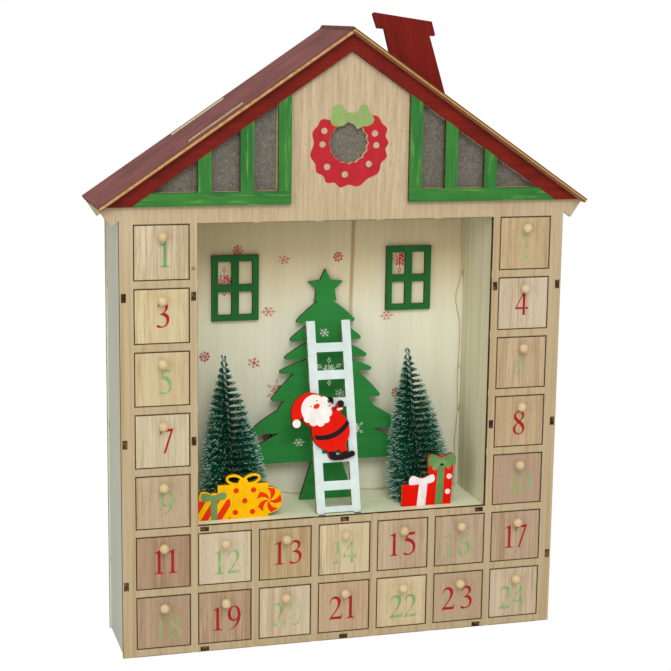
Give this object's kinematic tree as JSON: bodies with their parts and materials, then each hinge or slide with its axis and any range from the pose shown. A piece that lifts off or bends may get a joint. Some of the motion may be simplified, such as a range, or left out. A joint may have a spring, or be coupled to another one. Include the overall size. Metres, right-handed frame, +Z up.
{
  "type": "wooden advent calendar",
  "caption": "House-shaped wooden advent calendar with small pull-out drawers round an open winter scene under a gabled roof.",
  "frame": {"origin": "on the ground, midway across the house and midway through its depth", "axes": "+Z up, -Y out of the front with the drawers, +X to the viewer's right"},
  "size_m": [0.3486, 0.08, 0.445],
  "materials": {
    "panel_plywood": "bare satin plywood",
    "side_plywood": "bare satin plywood",
    "niche_plywood": "pale washed plywood",
    "roof_stain": "mauve-brown stained plywood",
    "dark_red_stain": "dark red stained plywood",
    "green_stain": "green stained plywood",
    "film": "grey glittering film",
    "white_paint": "white painted plywood",
    "red_print": "printed plywood",
    "yellow_print": "printed plywood",
    "bristles": "green bristles with frosted tips",
    "drawer_wood": "bare satin wood",
    "light_wire": "thin bare wire with clear drops"
  },
  "bodies": {
    "house": {"front_panel": "panel_plywood", "back_panel": "panel_plywood", "left_side": "side_plywood", "right_side": "side_plywood", "base_board": "side_plywood", "niche_floor": "niche_plywood", "niche_left_wall": "niche_plywood", "niche_right_wall": "niche_plywood", "left_shelves": "side_plywood", "right_shelves": "side_plywood", "lower_shelf": "side_plywood", "roof_left": "roof_stain", "roof_right": "roof_stain", "barge_board": "dark_red_stain", "gable_frame_left": "green_stain", "gable_frame_right": "green_stain", "gable_film": "film", "chimney": "dark_red_stain", "tree_cutout": "green_stain", "ladder": "white_paint", "climbing_figure": "red_print", "niche_window_left": "green_stain", "niche_window_right": "green_stain", "brush_tree_left": "bristles", "brush_tree_right": "bristles", "gifts_left": "yellow_print", "gifts_right": "red_print", "light_string": "light_wire", "lower_divider_1": "side_plywood", "lower_divider_2": "side_plywood", "lower_divider_3": "side_plywood", "lower_divider_4": "side_plywood", "lower_divider_5": "side_plywood", "lower_divider_6": "side_plywood"},
    "drawer_1_body": {"drawer_1": "drawer_wood"},
    "drawer_2_body": {"drawer_2": "drawer_wood"},
    "drawer_3_body": {"drawer_3": "drawer_wood"},
    "drawer_4_body": {"drawer_4": "drawer_wood"},
    "drawer_5_body": {"drawer_5": "drawer_wood"},
    "drawer_6_body": {"drawer_6": "drawer_wood"},
    "drawer_7_body": {"drawer_7": "drawer_wood"},
    "drawer_8_body": {"drawer_8": "drawer_wood"},
    "drawer_9_body": {"drawer_9": "drawer_wood"},
    "drawer_10_body": {"drawer_10": "drawer_wood"},
    "drawer_11_body": {"drawer_11": "drawer_wood"},
    "drawer_12_body": {"drawer_12": "drawer_wood"},
    "drawer_13_body": {"drawer_13": "drawer_wood"},
    "drawer_14_body": {"drawer_14": "drawer_wood"},
    "drawer_15_body": {"drawer_15": "drawer_wood"},
    "drawer_16_body": {"drawer_16": "drawer_wood"},
    "drawer_17_body": {"drawer_17": "drawer_wood"},
    "drawer_18_body": {"drawer_18": "drawer_wood"},
    "drawer_19_body": {"drawer_19": "drawer_wood"},
    "drawer_20_body": {"drawer_20": "drawer_wood"},
    "drawer_21_body": {"drawer_21": "drawer_wood"},
    "drawer_22_body": {"drawer_22": "drawer_wood"},
    "drawer_23_body": {"drawer_23": "drawer_wood"},
    "drawer_24_body": {"drawer_24": "drawer_wood"}
  },
  "joints": [
    {"name": "drawer_1_slide", "type": "slide", "parent": "house", "child": "drawer_1_body", "axis": [0, -1, 0], "range_m": [0, 0.048]},
    {"name": "drawer_2_slide", "type": "slide", "parent": "house", "child": "drawer_2_body", "axis": [0, -1, 0], "range_m": [0, 0.048]},
    {"name": "drawer_3_slide", "type": "slide", "parent": "house", "child": "drawer_3_body", "axis": [0, -1, 0], "range_m": [0, 0.048]},
    {"name": "drawer_4_slide", "type": "slide", "parent": "house", "child": "drawer_4_body", "axis": [0, -1, 0], "range_m": [0, 0.048]},
    {"name": "drawer_5_slide", "type": "slide", "parent": "house", "child": "drawer_5_body", "axis": [0, -1, 0], "range_m": [0, 0.048]},
    {"name": "drawer_6_slide", "type": "slide", "parent": "house", "child": "drawer_6_body", "axis": [0, -1, 0], "range_m": [0, 0.048]},
    {"name": "drawer_7_slide", "type": "slide", "parent": "house", "child": "drawer_7_body", "axis": [0, -1, 0], "range_m": [0, 0.048]},
    {"name": "drawer_8_slide", "type": "slide", "parent": "house", "child": "drawer_8_body", "axis": [0, -1, 0], "range_m": [0, 0.048]},
    {"name": "drawer_9_slide", "type": "slide", "parent": "house", "child": "drawer_9_body", "axis": [0, -1, 0], "range_m": [0, 0.048]},
    {"name": "drawer_10_slide", "type": "slide", "parent": "house", "child": "drawer_10_body", "axis": [0, -1, 0], "range_m": [0, 0.048]},
    {"name": "drawer_11_slide", "type": "slide", "parent": "house", "child": "drawer_11_body", "axis": [0, -1, 0], "range_m": [0, 0.048]},
    {"name": "drawer_12_slide", "type": "slide", "parent": "house", "child": "drawer_12_body", "axis": [0, -1, 0], "range_m": [0, 0.048]},
    {"name": "drawer_13_slide", "type": "slide", "parent": "house", "child": "drawer_13_body", "axis": [0, -1, 0], "range_m": [0, 0.048]},
    {"name": "drawer_14_slide", "type": "slide", "parent": "house", "child": "drawer_14_body", "axis": [0, -1, 0], "range_m": [0, 0.048]},
    {"name": "drawer_15_slide", "type": "slide", "parent": "house", "child": "drawer_15_body", "axis": [0, -1, 0], "range_m": [0, 0.048]},
    {"name": "drawer_16_slide", "type": "slide", "parent": "house", "child": "drawer_16_body", "axis": [0, -1, 0], "range_m": [0, 0.048]},
    {"name": "drawer_17_slide", "type": "slide", "parent": "house", "child": "drawer_17_body", "axis": [0, -1, 0], "range_m": [0, 0.048]},
    {"name": "drawer_18_slide", "type": "slide", "parent": "house", "child": "drawer_18_body", "axis": [0, -1, 0], "range_m": [0, 0.048]},
    {"name": "drawer_19_slide", "type": "slide", "parent": "house", "child": "drawer_19_body", "axis": [0, -1, 0], "range_m": [0, 0.048]},
    {"name": "drawer_20_slide", "type": "slide", "parent": "house", "child": "drawer_20_body", "axis": [0, -1, 0], "range_m": [0, 0.048]},
    {"name": "drawer_21_slide", "type": "slide", "parent": "house", "child": "drawer_21_body", "axis": [0, -1, 0], "range_m": [0, 0.048]},
    {"name": "drawer_22_slide", "type": "slide", "parent": "house", "child": "drawer_22_body", "axis": [0, -1, 0], "range_m": [0, 0.048]},
    {"name": "drawer_23_slide", "type": "slide", "parent": "house", "child": "drawer_23_body", "axis": [0, -1, 0], "range_m": [0, 0.048]},
    {"name": "drawer_24_slide", "type": "slide", "parent": "house", "child": "drawer_24_body", "axis": [0, -1, 0], "range_m": [0, 0.048]}
  ]
}
